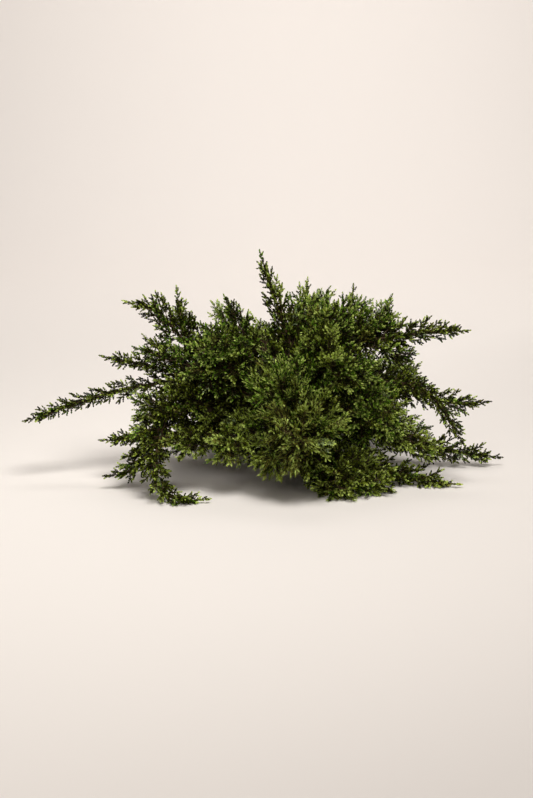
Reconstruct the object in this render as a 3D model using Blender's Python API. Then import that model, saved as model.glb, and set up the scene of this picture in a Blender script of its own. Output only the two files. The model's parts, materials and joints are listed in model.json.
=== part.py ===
"""Japanese garden juniper: a low, spreading evergreen shrub, rooted in level ground.

Metres, +Z up. The origin is the middle of the flat cut under the trunk, at ground level.
+X and -X are the shrub's long sides, and -Y is its front.

A short leaning trunk carries tapering boughs. Each bough ends in one or two masses of
foliage, and each mass is a stem with toothed sprays of needles fused on, round a small
core where the foliage is dense. Every mass keeps to its own space: flat planes part it
from each neighbour, and it stays clear of the boughs and of the ground.
"""

import math
import random
from collections import namedtuple

import bmesh
import bpy
import numpy as np
from mathutils import Matrix, Vector

MM = 0.001

# Driving sizes, in millimetres. They are scaled to metres where a mesh is made.
CLEARANCE = 0.3
WELD = 0.01
TRUNK_FOOT_RADIUS = 30.0
TRUNK_BASE_RADIUS = 17.0
TRUNK_TIP_RADIUS = 7.5
ROOT_FLARE_HEIGHT = 12.0
BOUGH_FOOT_RADIUS = 6.2
BOUGH_FORK_RADIUS = 5.0
BOUGH_END_RADIUS = 3.6
BOUGH_STEP = 36.0
STEM_FOOT_RADIUS = 2.4
STEM_END_RADIUS = 1.2
STEM_LEAD = 3.0
FORK_HALF_GAP = 2.8
GROUND_GAP = 0.8
SPACE_GAP = 0.6
LIMB_GAP = 0.9
LIMB_SAMPLE_STEP = 2.0
SPRAY_SPACING = 30.0
TOOTH_SPACING = 30.0
SMALLEST_CORE = 9.0

# Counts.
TRUNK_SIDES = 8
TRUNK_STEPS = 2
BOUGH_SIDES = 6
FEWEST_BOUGH_POINTS = 5
STEM_SIDES = 3
STEM_STEPS = 4
FEWEST_SPRAYS = 5
MOST_SPRAYS = 6
SPRAY_TEETH = 2
SPRAY_ATTEMPTS = 8
CORE_SEGMENTS = 7
CORE_RINGS = 4
NEAREST_ROUNDS = 60

# Angles, in degrees. LEAN is a spray's angle to its stem, at the stem's foot and at its tip.
GOLDEN_ANGLE = 137.5
FOOT_LEAN = 64
TIP_LEAN = 34
TIP_SLANT = 35
LEAN_SCATTER = 6
ROLL_SCATTER = 15
TWIST_SCATTER = 45
RETRY_TURN = 52
TIP_RETRY_TURN = 50

# Shares of a bough's or a stem's run, which shape its curve.
BOUGH_LEVEL = 0.4
BOUGH_LEAVE = 0.33
BOUGH_ARRIVE = 0.28
STEM_BEND = 0.35

# Where along a stem its sprays leave, and how long they are as a share of the mass's reach.
FIRST_SPRAY = 0.12
LAST_SPRAY = 0.86
LAST_SLENDER_SPRAY = 0.64
NEAR_SHARE = 0.06
FOOT_LENGTH = 1.5
TIP_LENGTH = 0.95
SPRAY_AHEAD = 1.3
LENGTH_SCATTER = 0.1
RETRY_SHORTER = 0.08

# The shape of one spray. HALF_WIDTH is a share of its length, and the others of that width.
SPRAY_HALF_WIDTH = 0.39
NOTCH_SHARE = 0.2
KEEL_SHARE = 0.15
TOOTH_LEAN = 0.42
SPRAY_TAPER = 0.5
TOOTH_TAPER = 0.35
RIB_SHARE = 0.76

# The spray at a mass's tip, as shares of its reach, and of its stem's length for the longest.
TIP_SPRAY_SHARE = 1.1
SLENDER_TIP_SHARE = 4.0
LONGEST_TIP_SPRAY = 0.45
TIP_HALF_WIDTH = 0.9
TIP_RETRY_SMALLER = 0.12
STEM_OVERLAP = 0.3

# The core of a dense mass. CORE_HALF_LENGTH is a share of the stem's length.
CORE_HALF_LENGTH = 0.42
CORE_SLENDERNESS = 2.2
CORE_RETRY = 0.88

# The trunk's centre line: a base on the ground, a lean, and a tip where it forks.
TRUNK_LINE = [
    (0, 0, 0), (0, 0, 14), (0, 0, 34), (4, 3, 70), (4, 7, 110), (-6, 12, 150), (-20, 15, 188),
]

# A bough leaves its parent at a height on the trunk, or at a share of a parent bough's
# length, and runs to its end. rise lifts the middle of its line.
Bough = namedtuple("Bough", "parent start end rise")
BOUGHS = {
    "bough_left": Bough("trunk", 118, (-182, -10, 168), 0),
    "bough_left_tall": Bough("trunk", 137, (-212, 16, 222), 0),
    "bough_left_shoulder": Bough("trunk", 100, (-96, -26, 138), 0),
    "bough_left_low": Bough("trunk", 74, (-138, -40, 100), 10),
    "bough_left_ground": Bough("bough_left_low", 0.42, (-250, -108, 108), 0),
    "bough_front_left": Bough("trunk", 56, (-60, -58, 84), 7),
    "bough_front_centre": Bough("trunk", 70, (-7, -65, 93), 4),
    "bough_front_upper": Bough("trunk", 127, (5, -34, 177), 0),
    "bough_front_ground": Bough("trunk", 34, (30, -75, 46), 7),
    "bough_front_right": Bough("trunk", 90, (57, -32, 116), 3),
    "bough_right_front_ground": Bough("trunk", 50, (88, -78, 26), 5),
    "bough_right_mid": Bough("trunk", 108, (97, -9, 168), 0),
    "bough_right_upper": Bough("trunk", 144, (98, 2, 232), 0),
    "bough_right_ground": Bough("trunk", 60, (102, 30, 61), 10),
    "bough_top_right": Bough("trunk", 166, (43, 34, 206), 0),
    "bough_top_left": Bough("trunk", 172, (-96, -3, 214), 0),
    "bough_back_left": Bough("trunk", 83, (-84, 65, 104), 11),
    "bough_back_centre": Bough("trunk", 64, (-14, 79, 88), 10),
    "bough_back_right": Bough("trunk", 96, (47, 68, 102), 10),
    "bough_back_top": Bough("trunk", 151, (-26, 58, 179), 0),
}

# A mass grows from a bough's end, or the trunk's tip, to its own tip. reach is how far its
# side sprays stand out, and core is the core's radius as a share of reach, 0 for none. arch
# lifts the outer part of the stem, as a share of its run, and below 0 it lets the stem sag.
# lead is how far the stem keeps to its bough's direction, and swing how far it bows to its
# right, seen from above, both as a share of its run.
Mass = namedtuple("Mass", "limb tip reach core arch lead swing", defaults=(0.03, 0.25, 0))
MASSES = {
    "foliage_left_long_spray": Mass("bough_left", (-488, -60, 99), 28, 0, 0.03, 0.25, 0.16),
    "foliage_left_upper_spray": Mass("bough_left", (-364, 14, 197), 27, 0, 0.03),
    "foliage_left_tall": Mass("bough_left_tall", (-320, 20, 278), 38, 0, 0.5, 0.2),
    "foliage_left_tall_side": Mass("bough_left_tall", (-233, 26, 317), 32, 0),
    "foliage_left_shoulder": Mass("bough_left_shoulder", (-292, -22, 213), 50, 0.5, 0.12),
    "foliage_left_mid": Mass("bough_left_shoulder", (-300, -88, 114), 56, 0.5),
    "foliage_left_low": Mass("bough_left_low", (-227, -161, 77), 52, 0.5, -0.08, 0.12),
    "foliage_left_side_spray": Mass("bough_left_low", (-360, -60, 66), 34, 0, -0.03),
    "foliage_left_ground_spray": Mass("bough_left_ground", (-169, -214, 8), 34, 0, -0.3, 0.3, 0.7),
    "foliage_left_ground_side": Mass("bough_left_ground", (-342, -130, 42), 46, 0, -0.7, 0.2),
    "foliage_front_left": Mass("bough_front_left", (-160, -176, 78), 62, 0.52),
    "foliage_front_low": Mass("bough_front_left", (-64, -207, 55), 60, 0.52),
    "foliage_front_left_upper": Mass("bough_top_left", (-180, -130, 184), 82, 0.52),
    "foliage_front_centre": Mass("bough_front_centre", (-28, -246, 100), 90, 0.52),
    "foliage_front_upper_left": Mass("bough_front_centre", (-64, -150, 196), 90, 0.52),
    "foliage_front_ground": Mass("bough_front_ground", (40, -211, 10), 66, 0.48),
    "foliage_front_right_ground": Mass("bough_front_ground", (119, -178, 6), 56, 0.4),
    "foliage_right_front_ground": Mass("bough_right_front_ground", (250, -122, 4), 36, 0, -0.02),
    "foliage_front_right": Mass("bough_front_right", (134, -144, 114), 74, 0.52),
    "foliage_right_low": Mass("bough_front_right", (216, -106, 50), 50, 0.42),
    "foliage_right_mid_spray": Mass("bough_right_mid", (314, 15, 119), 32, 0, -0.12, 0.45),
    "foliage_right_drooping": Mass("bough_right_mid", (256, -100, 66), 28, 0, 0.5, 0.28, 0.08),
    "foliage_right_long_spray": Mass("bough_right_upper", (272, 0, 242), 34, 0, 0.1),
    "foliage_right_shoulder_low": Mass("bough_right_upper", (174, 8, 188), 44, 0.45, 0.03, 0.1),
    "foliage_right_ground": Mass("bough_right_ground", (338, 30, 13), 34, 0, -0.02),
    "foliage_right_shoulder": Mass("bough_top_right", (150, 20, 270), 58, 0.5),
    "foliage_top_right": Mass("bough_top_right", (90, 50, 297), 50, 0.45),
    "foliage_top_spire": Mass("trunk", (-88, 20, 379), 34, 0, 0.03, 0.25, -0.03),
    "foliage_top_centre": Mass("trunk", (12, 50, 308), 58, 0.5),
    "foliage_top_left": Mass("bough_top_left", (-172, 10, 292), 40, 0.5),
    "foliage_front_top": Mass("bough_front_upper", (38, -52, 304), 68, 0.5),
    "foliage_front_upper_right": Mass("bough_front_upper", (70, -138, 194), 82, 0.52),
    "foliage_back_left": Mass("bough_back_left", (-232, 172, 124), 70, 0.52),
    "foliage_back_left_ground": Mass("bough_back_left", (-170, 262, 24), 66, 0.45),
    "foliage_back_centre": Mass("bough_back_centre", (-58, 246, 134), 70, 0.52),
    "foliage_back_right": Mass("bough_back_right", (196, 146, 146), 66, 0.52),
    "foliage_back_right_ground": Mass("bough_back_right", (100, 270, 20), 64, 0.42),
    "foliage_back_top_left": Mass("bough_back_top", (-175, 140, 200), 58, 0.52),
    "foliage_back_top": Mass("bough_back_top", (8, 150, 246), 68, 0.52),
}

BARK = ((0.16, 0.095, 0.055), 0.9)
NEEDLES = ((0.075, 0.14, 0.025), 0.6)


def clear_scene():
    for obj in list(bpy.data.objects):
        bpy.data.objects.remove(obj)


def new_collection(name):
    collection = bpy.data.collections.new(name)
    bpy.context.scene.collection.children.link(collection)
    return collection


def new_material(name, look):
    colour, roughness = look
    material = bpy.data.materials.new(name)
    material.use_nodes = True
    shader = material.node_tree.nodes["Principled BSDF"]
    shader.inputs["Base Color"].default_value = (*colour, 1)
    shader.inputs["Roughness"].default_value = roughness
    shader.inputs["Metallic"].default_value = 0
    return material


def mix(first, last, share):
    return first + (last - first) * share


def scatter(chance, most):
    return chance.uniform(-most, most)


# Lines


def bezier(corners, count):
    """Points along a cubic curve with these four corners."""
    points = []
    for i in range(count):
        t = i / (count - 1)
        u = 1 - t
        weights = (u**3, 3 * u * u * t, 3 * u * t * t, t**3)
        points.append(sum((Vector(c) * w for c, w in zip(corners, weights)), Vector()))
    return points


def smooth_through(corners, steps):
    """A smooth line through these points, with this many steps between each two."""
    corners = [Vector(c) for c in corners]
    line = [corners[0]]
    for i in range(len(corners) - 1):
        before = corners[max(i - 1, 0)]
        start, end = corners[i], corners[i + 1]
        after = corners[min(i + 2, len(corners) - 1)]
        out = start + (end - before) / 6
        arrive = end - (after - start) / 6
        line += bezier((start, out, arrive, end), steps + 1)[1:]
    return line


def length_of(line):
    return sum((b - a).length for a, b in zip(line, line[1:]))


def point_along(line, share):
    """The point at this share of a line's length."""
    left = share * length_of(line)
    for a, b in zip(line, line[1:]):
        step = (b - a).length
        if left <= step:
            return a.lerp(b, left / step)
        left -= step
    return line[-1].copy()


def first_part(line, share):
    """The line up to this share of its length."""
    end = share * length_of(line)
    part = [line[0]]
    for point in line[1:]:
        if length_of([*part, point]) > end:
            break
        part.append(point)
    return [*part, point_along(line, share)]


def point_at_height(line, height):
    for a, b in zip(line, line[1:]):
        if a.z <= height <= b.z:
            return a.lerp(b, (height - a.z) / (b.z - a.z))
    raise ValueError(f"the line doesn't reach {height} mm")


def nearest_on(segment, point):
    start, end = segment
    along = end - start
    share = (point - start).dot(along) / along.length_squared
    return start + along * min(1.0, max(0.0, share))


def closest_points(first, second):
    """The two points, one on each segment, that lie nearest each other."""
    on_second = (second[0] + second[1]) / 2
    for _ in range(NEAREST_ROUNDS):
        on_first = nearest_on(first, on_second)
        on_second = nearest_on(second, on_first)
    return on_first, on_second


# Meshes


def closed_up(shape, name):
    """A mesh from this shape, with its seams welded and its faces turned out."""
    bmesh.ops.remove_doubles(shape, verts=shape.verts, dist=WELD * MM)
    bmesh.ops.recalc_face_normals(shape, faces=shape.faces)
    mesh = bpy.data.meshes.new(name)
    shape.to_mesh(mesh)
    shape.free()
    return mesh


def evaluated_mesh(obj):
    graph = bpy.context.evaluated_depsgraph_get()
    return bpy.data.meshes.new_from_object(obj.evaluated_get(graph))


def section(sides):
    """A regular polygon of unit radius, the section that a limb or stem is swept with."""
    curve = bpy.data.curves.new("section", "CURVE")
    spline = curve.splines.new("POLY")
    spline.points.add(sides - 1)
    spline.use_cyclic_u = True
    for i, point in enumerate(spline.points):
        angle = 2 * math.pi * i / sides
        point.co = (math.cos(angle), math.sin(angle), 0, 1)
    return bpy.data.objects.new("section", curve)


def tube(line, radii, sides):
    """A closed mesh swept along a line, tapered by the radius at each of its points."""
    profile = section(sides)
    curve = bpy.data.curves.new("tube", "CURVE")
    curve.dimensions = "3D"
    curve.twist_mode = "MINIMUM"
    curve.bevel_mode = "OBJECT"
    curve.bevel_object = profile
    curve.use_fill_caps = True
    spline = curve.splines.new("POLY")
    spline.points.add(len(line) - 1)
    for point, centre, radius in zip(spline.points, line, radii):
        point.co = (*(centre * MM), 1)
        point.radius = radius * MM
    swept = bpy.data.objects.new("tube", curve)
    for obj in (profile, swept):
        bpy.context.scene.collection.objects.link(obj)
    shape = bmesh.new()
    shape.from_mesh(evaluated_mesh(swept))
    for obj in (swept, profile):
        bpy.data.objects.remove(obj)
    return closed_up(shape, "tube")


def needle_spray(length, half_width, teeth):
    """A closed blade of needles along +X: a keeled rib with pointed teeth on both sides."""
    pitch = RIB_SHARE * length / teeth
    notch_width = NOTCH_SHARE * half_width
    keel_height = KEEL_SHARE * half_width
    shape = bmesh.new()

    def corner(x, y, z):
        return shape.verts.new(Vector((x, y, z)) * MM)

    stations = []
    for k in range(teeth + 1):
        narrower = 1 - SPRAY_TAPER * k / teeth
        notch = notch_width * narrower
        x = pitch * k
        stations.append((corner(x, notch, 0), corner(x, -notch, 0), corner(x, 0, keel_height * narrower)))
    shape.faces.new(stations[0])
    for k in range(teeth):
        narrower = 1 - TOOTH_TAPER * k / teeth
        out = half_width * narrower
        x = pitch * (k + 0.5) + TOOTH_LEAN * half_width * narrower
        keel, next_keel = stations[k][2], stations[k + 1][2]
        for side, point in enumerate((corner(x, out, 0), corner(x, -out, 0))):
            notch, next_notch = stations[k][side], stations[k + 1][side]
            shape.faces.new((keel, next_keel, next_notch))
            shape.faces.new((keel, next_notch, point))
            shape.faces.new((keel, point, notch))
            shape.faces.new((notch, point, next_notch))
        left, right = stations[k][:2]
        next_left, next_right = stations[k + 1][:2]
        shape.faces.new((left, next_left, right))
        shape.faces.new((next_left, next_right, right))
    tip = corner(length, 0, 0)
    left, right, keel = stations[-1]
    shape.faces.new((left, tip, right))
    shape.faces.new((right, tip, keel))
    shape.faces.new((keel, tip, left))
    return closed_up(shape, "spray")


def needle_core(centre, radii, axis):
    """A faceted ellipsoid whose long axis lies along the stem."""
    shape = bmesh.new()
    bmesh.ops.create_uvsphere(shape, u_segments=CORE_SEGMENTS, v_segments=CORE_RINGS, radius=1)
    turn = axis.to_track_quat("Z", "Y").to_matrix().to_4x4()
    size = Matrix.Diagonal((*(Vector(radii) * MM), 1))
    bmesh.ops.transform(shape, matrix=Matrix.Translation(centre * MM) @ turn @ size, verts=shape.verts)
    bmesh.ops.triangulate(shape, faces=shape.faces)
    return closed_up(shape, "core")


def largest_body(mesh):
    """The mesh without the scraps and sealed hollows that joining may leave."""
    shape = bmesh.new()
    shape.from_mesh(mesh)
    bmesh.ops.triangulate(shape, faces=shape.faces)
    left = set(shape.faces)
    bodies = []
    while left:
        body = {left.pop()}
        reached = list(body)
        while reached:
            for edge in reached.pop().edges:
                if len(edge.link_faces) != 2:
                    continue
                for other in edge.link_faces:
                    if other in left:
                        left.discard(other)
                        body.add(other)
                        reached.append(other)
        bodies.append(body)
    keep = max(bodies, key=len)
    bmesh.ops.delete(shape, geom=[f for f in shape.faces if f not in keep], context="FACES")
    whole = bpy.data.meshes.new(mesh.name)
    shape.to_mesh(whole)
    shape.free()
    return whole


def joined(pieces):
    """One closed mesh from several that overlap."""
    group = new_collection("pieces_to_join")
    base = bpy.data.objects.new("base", pieces[0])
    bpy.context.scene.collection.objects.link(base)
    others = [bpy.data.objects.new("piece", piece) for piece in pieces[1:]]
    for obj in others:
        group.objects.link(obj)
    union = base.modifiers.new("Join", "BOOLEAN")
    union.operation = "UNION"
    union.operand_type = "COLLECTION"
    union.collection = group
    union.solver = "MANIFOLD"
    mesh = largest_body(evaluated_mesh(base))
    for obj in (*others, base):
        bpy.data.objects.remove(obj)
    bpy.data.collections.remove(group)
    return mesh


# Limbs


def trunk_limb():
    """The trunk's centre line and radii, with the root flare dying away above the ground."""
    line = smooth_through(TRUNK_LINE, TRUNK_STEPS)
    radii = []
    for point in line:
        share = point.z / line[-1].z
        radius = TRUNK_BASE_RADIUS + (TRUNK_TIP_RADIUS - TRUNK_BASE_RADIUS) * share
        flare = (TRUNK_FOOT_RADIUS - TRUNK_BASE_RADIUS) * math.exp(-point.z / ROOT_FLARE_HEIGHT)
        radii.append(radius + flare)
    return line, radii


def bough_limb(bough, limbs, tips):
    """A bough's centre line and radii: out of its parent, over its rise, towards its masses."""
    parent_line = limbs[bough.parent][0]
    on_trunk = bough.parent == "trunk"
    start = point_at_height(parent_line, bough.start) if on_trunk else point_along(parent_line, bough.start)
    end = Vector(bough.end)
    run = (end - start).length
    level = Vector((end.x - start.x, end.y - start.y, 0)).normalized()
    leave = (end - start).normalized().lerp(level, BOUGH_LEVEL)
    aim = sum(((tip - end).normalized() for tip in tips), Vector()).normalized()
    lift = Vector((0, 0, bough.rise))
    near_start = start + leave * run * BOUGH_LEAVE + lift
    near_end = end - aim * run * BOUGH_ARRIVE + lift / 2
    line = bezier((start, near_start, near_end, end), max(FEWEST_BOUGH_POINTS, round(run / BOUGH_STEP) + 1))
    first = BOUGH_FOOT_RADIUS if on_trunk else BOUGH_FORK_RADIUS
    last = BOUGH_FORK_RADIUS if len(tips) > 1 else BOUGH_END_RADIUS
    return line, [first + (last - first) * i / (len(line) - 1) for i in range(len(line))]


def limb_samples(limbs):
    """Points along the limbs' centre lines, with the limb's radius at each."""
    centres, radii = [], []
    for line, thick in limbs.values():
        for a, b, first, last in zip(line, line[1:], thick, thick[1:]):
            count = max(1, round((b - a).length / LIMB_SAMPLE_STEP))
            for i in range(count):
                centres.append(a.lerp(b, i / count))
                radii.append(first + (last - first) * i / count)
        centres.append(line[-1])
        radii.append(thick[-1])
    return np.array(centres), np.array(radii)


# Masses of foliage


def stem_starts(end, direction, tips):
    """Where each stem meets a limb's flat end: in its middle, or side by side at a fork."""
    foot = end + direction * CLEARANCE
    if len(tips) == 1:
        return [foot]
    apart = tips[0] - tips[1]
    apart -= direction * direction.dot(apart)
    side = apart.normalized() * FORK_HALF_GAP
    return [foot + side, foot - side]


class Space:
    """The room of one mass: flat planes part it from its neighbours, and it stays above the
    ground and off the limbs. The plane between two stems from one fork halves their angle."""

    def __init__(self, name, segments, samples):
        self.centres, self.radii = samples
        normals, offsets = [Vector((0, 0, 1))], [GROUND_GAP]
        own = segments[name]
        for other, segment in segments.items():
            if other == name:
                continue
            if MASSES[other].limb == MASSES[name].limb:
                apart = (own[1] - own[0]).normalized() - (segment[1] - segment[0]).normalized()
            else:
                near, far = closest_points(own, segment)
                apart = near - far
            normal = apart.normalized()
            low = max(normal.dot(p) for p in segment)
            high = min(normal.dot(p) for p in own)
            if high < low:
                raise ValueError(f"the stems of {name} and {other} cross")
            share = MASSES[other].reach / (MASSES[other].reach + MASSES[name].reach)
            normals.append(normal)
            offsets.append(low + (high - low) * share + SPACE_GAP / 2)
        self.normals, self.offsets = np.array(normals), np.array(offsets)

    def holds(self, points):
        points = np.array(points)
        if (points @ self.normals.T < self.offsets).any():
            return False
        apart = np.linalg.norm(points[:, None] - self.centres[None], axis=2)
        return bool((apart > self.radii + LIMB_GAP).all())


def stem_line(start, direction, mass):
    """A stem leaves square to its limb's flat end and bends to its tip."""
    tip = Vector(mass.tip)
    run = (tip - start).length
    right = (tip - start).cross(Vector((0, 0, 1))).normalized()
    bow = (Vector((0, 0, mass.arch)) + right * mass.swing) * run
    foot = start + direction * STEM_LEAD
    corners = (foot, start + direction * run * mass.lead, tip.lerp(start, STEM_BEND) + bow, tip)
    return [start, *bezier(corners, STEM_STEPS)]


Shoot = namedtuple("Shoot", "base direction normal length")


def shoot_matrix(shoot):
    side = shoot.normal.cross(shoot.direction)
    turn = Matrix((shoot.direction, side, shoot.normal)).transposed().to_4x4()
    return Matrix.Translation(shoot.base * MM) @ turn


def placed_spray(shoot, half_width, teeth):
    mesh = needle_spray(shoot.length, half_width, teeth)
    mesh.transform(shoot_matrix(shoot))
    return mesh


def surface_points(mesh):
    """A mesh's corners, and the middles of its faces, in millimetres."""
    return [v.co / MM for v in mesh.vertices] + [p.center / MM for p in mesh.polygons]


def grow_sprays(name, line, space):
    """Sprays leave the stem by a seeded rule: turned by the golden angle, and shorter and more
    forward towards the tip. One that doesn't fit is turned and shortened, and then skipped."""
    mass = MASSES[name]
    chance = random.Random(name)
    count = round(length_of(line) / SPRAY_SPACING)
    count = min(MOST_SPRAYS, max(FEWEST_SPRAYS, count))
    sprays = []
    for i in range(count):
        share = mix(FIRST_SPRAY, LAST_SPRAY if mass.core else LAST_SLENDER_SPRAY, (i + 0.5) / count)
        base = point_along(line, share)
        along = (point_along(line, share + NEAR_SHARE) - point_along(line, share - NEAR_SHARE)).normalized()
        across = along.orthogonal().normalized()
        lean = math.radians(mix(FOOT_LEAN, TIP_LEAN, share) + scatter(chance, LEAN_SCATTER))
        length = mass.reach * mix(FOOT_LENGTH, TIP_LENGTH, share) * (1 + scatter(chance, LENGTH_SCATTER))
        length = min(length, SPRAY_AHEAD * (1 - share) * length_of(line))
        roll = GOLDEN_ANGLE * i + scatter(chance, ROLL_SCATTER)
        twist = math.radians(scatter(chance, TWIST_SCATTER))
        for attempt in range(SPRAY_ATTEMPTS):
            out = Matrix.Rotation(math.radians(roll + attempt * RETRY_TURN), 3, along) @ across
            direction = along * math.cos(lean) + out * math.sin(lean)
            normal = Matrix.Rotation(twist, 3, direction) @ direction.cross(along).normalized()
            shoot = Shoot(base, direction, normal, length * (1 - RETRY_SHORTER * attempt))
            spray = placed_spray(shoot, SPRAY_HALF_WIDTH * shoot.length, SPRAY_TEETH)
            if space.holds(surface_points(spray)):
                sprays.append(spray)
                break
    return sprays


def tip_share(line, mass):
    """The share of a stem's length that its tip spray takes up."""
    longest = (TIP_SPRAY_SHARE if mass.core else SLENDER_TIP_SHARE) * mass.reach
    return min(LONGEST_TIP_SPRAY, longest / length_of(line))


def tip_spray(name, line, space):
    """The spray that carries the stem to the mass's furthest point, as large as fits there. It
    lies aslant, so that it shows its width from the side and from above."""
    mass = MASSES[name]
    tip = line[-1]
    for attempt in range(SPRAY_ATTEMPTS):
        smaller = 1 - TIP_RETRY_SMALLER * attempt
        base = point_along(line, 1 - tip_share(line, mass) * smaller)
        direction = (tip - base).normalized()
        slant = math.radians(TIP_SLANT + attempt * TIP_RETRY_TURN)
        level = direction.cross(Vector((0, 0, 1))).normalized()
        normal = Matrix.Rotation(slant, 3, direction) @ level
        length = (tip - base).length
        half_width = min(SPRAY_HALF_WIDTH * length, TIP_HALF_WIDTH * mass.reach * smaller)
        teeth = max(SPRAY_TEETH, round(length / TOOTH_SPACING))
        spray = placed_spray(Shoot(base, direction, normal, length), half_width, teeth)
        if space.holds(surface_points(spray)):
            return spray
    raise ValueError(f"{name} has no room for the spray at its tip")


def grow_core(line, mass, space):
    """The dense heart of a mass, as large as its share of the reach and the limbs allow."""
    centre = point_along(line, 0.5)
    axis = (line[-1] - line[0]).normalized()
    radius = mass.core * mass.reach
    while radius > SMALLEST_CORE:
        half_length = min(CORE_HALF_LENGTH * length_of(line), CORE_SLENDERNESS * radius)
        core = needle_core(centre, (radius, radius, half_length), axis)
        if space.holds(surface_points(core)):
            return [core]
        radius *= CORE_RETRY
    return []


def grow_mass(name, start, direction, space):
    mass = MASSES[name]
    line = stem_line(start, direction, mass)
    inner = first_part(line, 1 - STEM_OVERLAP * tip_share(line, mass))
    radii = [mix(STEM_FOOT_RADIUS, STEM_END_RADIUS, i / (len(inner) - 1)) for i in range(len(inner))]
    stem = tube(inner, radii, STEM_SIDES)
    pieces = [stem, *grow_core(line, mass, space), tip_spray(name, line, space)]
    return joined(pieces + grow_sprays(name, line, space))


# The whole shrub


def add_part(name, mesh, material, collection):
    obj = bpy.data.objects.new(name, mesh)
    mesh.name = name
    mesh.materials.clear()
    mesh.materials.append(material)
    collection.objects.link(obj)
    return obj


def add_cutter(name, limb, sides, collection):
    """A limb grown by the clearance, which trims the foot of each bough that leaves it."""
    line, radii = limb
    cutter = bpy.data.objects.new(f"cutter_{name}", tube(line, [r + CLEARANCE for r in radii], sides))
    cutter.hide_render = True
    cutter.display_type = "WIRE"
    collection.objects.link(cutter)
    return cutter


def trim(obj, cutter):
    cut = obj.modifiers.new("Seat", "BOOLEAN")
    cut.operation = "DIFFERENCE"
    cut.solver = "EXACT"
    cut.object = cutter


def main():
    clear_scene()
    shrub = new_collection("garden_juniper")
    cutters = new_collection("cutters")
    bark, needles = new_material("bark", BARK), new_material("needles", NEEDLES)

    carried = {}
    for name, mass in MASSES.items():
        carried.setdefault(mass.limb, []).append(name)
    limbs = {"trunk": trunk_limb()}
    for name, bough in BOUGHS.items():
        limbs[name] = bough_limb(bough, limbs, [Vector(MASSES[m].tip) for m in carried[name]])

    starts = {}
    for limb, names in carried.items():
        line = limbs[limb][0]
        direction = (line[-1] - line[-2]).normalized()
        tips = [Vector(MASSES[m].tip) for m in names]
        for name, start in zip(names, stem_starts(line[-1], direction, tips)):
            starts[name] = (start, direction)

    add_part("trunk", tube(*limbs["trunk"], TRUNK_SIDES), bark, shrub)
    parents = {bough.parent for bough in BOUGHS.values()}
    cutter_of = {
        name: add_cutter(name, limbs[name], TRUNK_SIDES if name == "trunk" else BOUGH_SIDES, cutters)
        for name in sorted(parents)
    }
    for name, bough in BOUGHS.items():
        part = add_part(name, tube(*limbs[name], BOUGH_SIDES), bark, shrub)
        trim(part, cutter_of[bough.parent])

    segments = {name: (start, Vector(MASSES[name].tip)) for name, (start, _) in starts.items()}
    samples = limb_samples(limbs)
    for name, (start, direction) in starts.items():
        space = Space(name, segments, samples)
        add_part(name, grow_mass(name, start, direction, space), needles, shrub)


main()
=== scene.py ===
"""Looks of the garden juniper: bark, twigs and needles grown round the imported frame.

The limbs and the stems of the masses follow the same tables and rules as the solids. Each
stem then carries shoots, each long shoot carries shorter ones, and all of them carry short
branchlets ringed with awl-shaped needles.
"""

import json
import math
import random
from collections import namedtuple

import bpy
import numpy as np
from mathutils import Matrix, Vector, noise

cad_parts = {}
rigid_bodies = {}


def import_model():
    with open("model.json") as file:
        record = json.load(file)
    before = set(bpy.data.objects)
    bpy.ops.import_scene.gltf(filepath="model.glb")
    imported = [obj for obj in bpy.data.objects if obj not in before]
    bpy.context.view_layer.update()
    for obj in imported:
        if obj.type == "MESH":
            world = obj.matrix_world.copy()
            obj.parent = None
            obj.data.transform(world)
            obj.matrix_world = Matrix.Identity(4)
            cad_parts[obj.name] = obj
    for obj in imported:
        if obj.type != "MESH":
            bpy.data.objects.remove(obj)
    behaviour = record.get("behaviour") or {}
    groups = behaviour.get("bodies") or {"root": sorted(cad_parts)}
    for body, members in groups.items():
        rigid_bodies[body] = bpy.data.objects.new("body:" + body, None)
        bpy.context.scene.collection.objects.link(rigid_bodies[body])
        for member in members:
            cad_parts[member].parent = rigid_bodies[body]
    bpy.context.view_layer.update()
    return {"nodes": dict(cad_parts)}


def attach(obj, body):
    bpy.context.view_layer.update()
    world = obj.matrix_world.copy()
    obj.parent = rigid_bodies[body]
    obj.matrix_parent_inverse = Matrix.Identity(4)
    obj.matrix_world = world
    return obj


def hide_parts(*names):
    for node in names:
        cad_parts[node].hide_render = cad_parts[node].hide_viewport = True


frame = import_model()

MM = 0.001

# Sizes of the limbs and stems, in millimetres, as in the solids.
CLEARANCE = 0.3
TRUNK_FOOT_RADIUS = 30.0
TRUNK_BASE_RADIUS = 17.0
TRUNK_TIP_RADIUS = 7.5
ROOT_FLARE_HEIGHT = 12.0
BOUGH_FOOT_RADIUS = 6.2
BOUGH_FORK_RADIUS = 5.0
BOUGH_END_RADIUS = 3.6
STEM_FOOT_RADIUS = 2.4
STEM_END_RADIUS = 1.0
STEM_LEAD = 3.0
FORK_HALF_GAP = 2.8
GOLDEN_ANGLE = 137.5
TRUNK_SIDES = 40
BOUGH_SIDES = 16

# The trunk's centre line: a base on the ground, a lean, and a tip where it forks.
TRUNK_LINE = [(0, 0, 0), (0, 0, 14), (0, 0, 34), (4, 3, 70), (4, 7, 110), (-6, 12, 150), (-20, 15, 188)]

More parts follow.
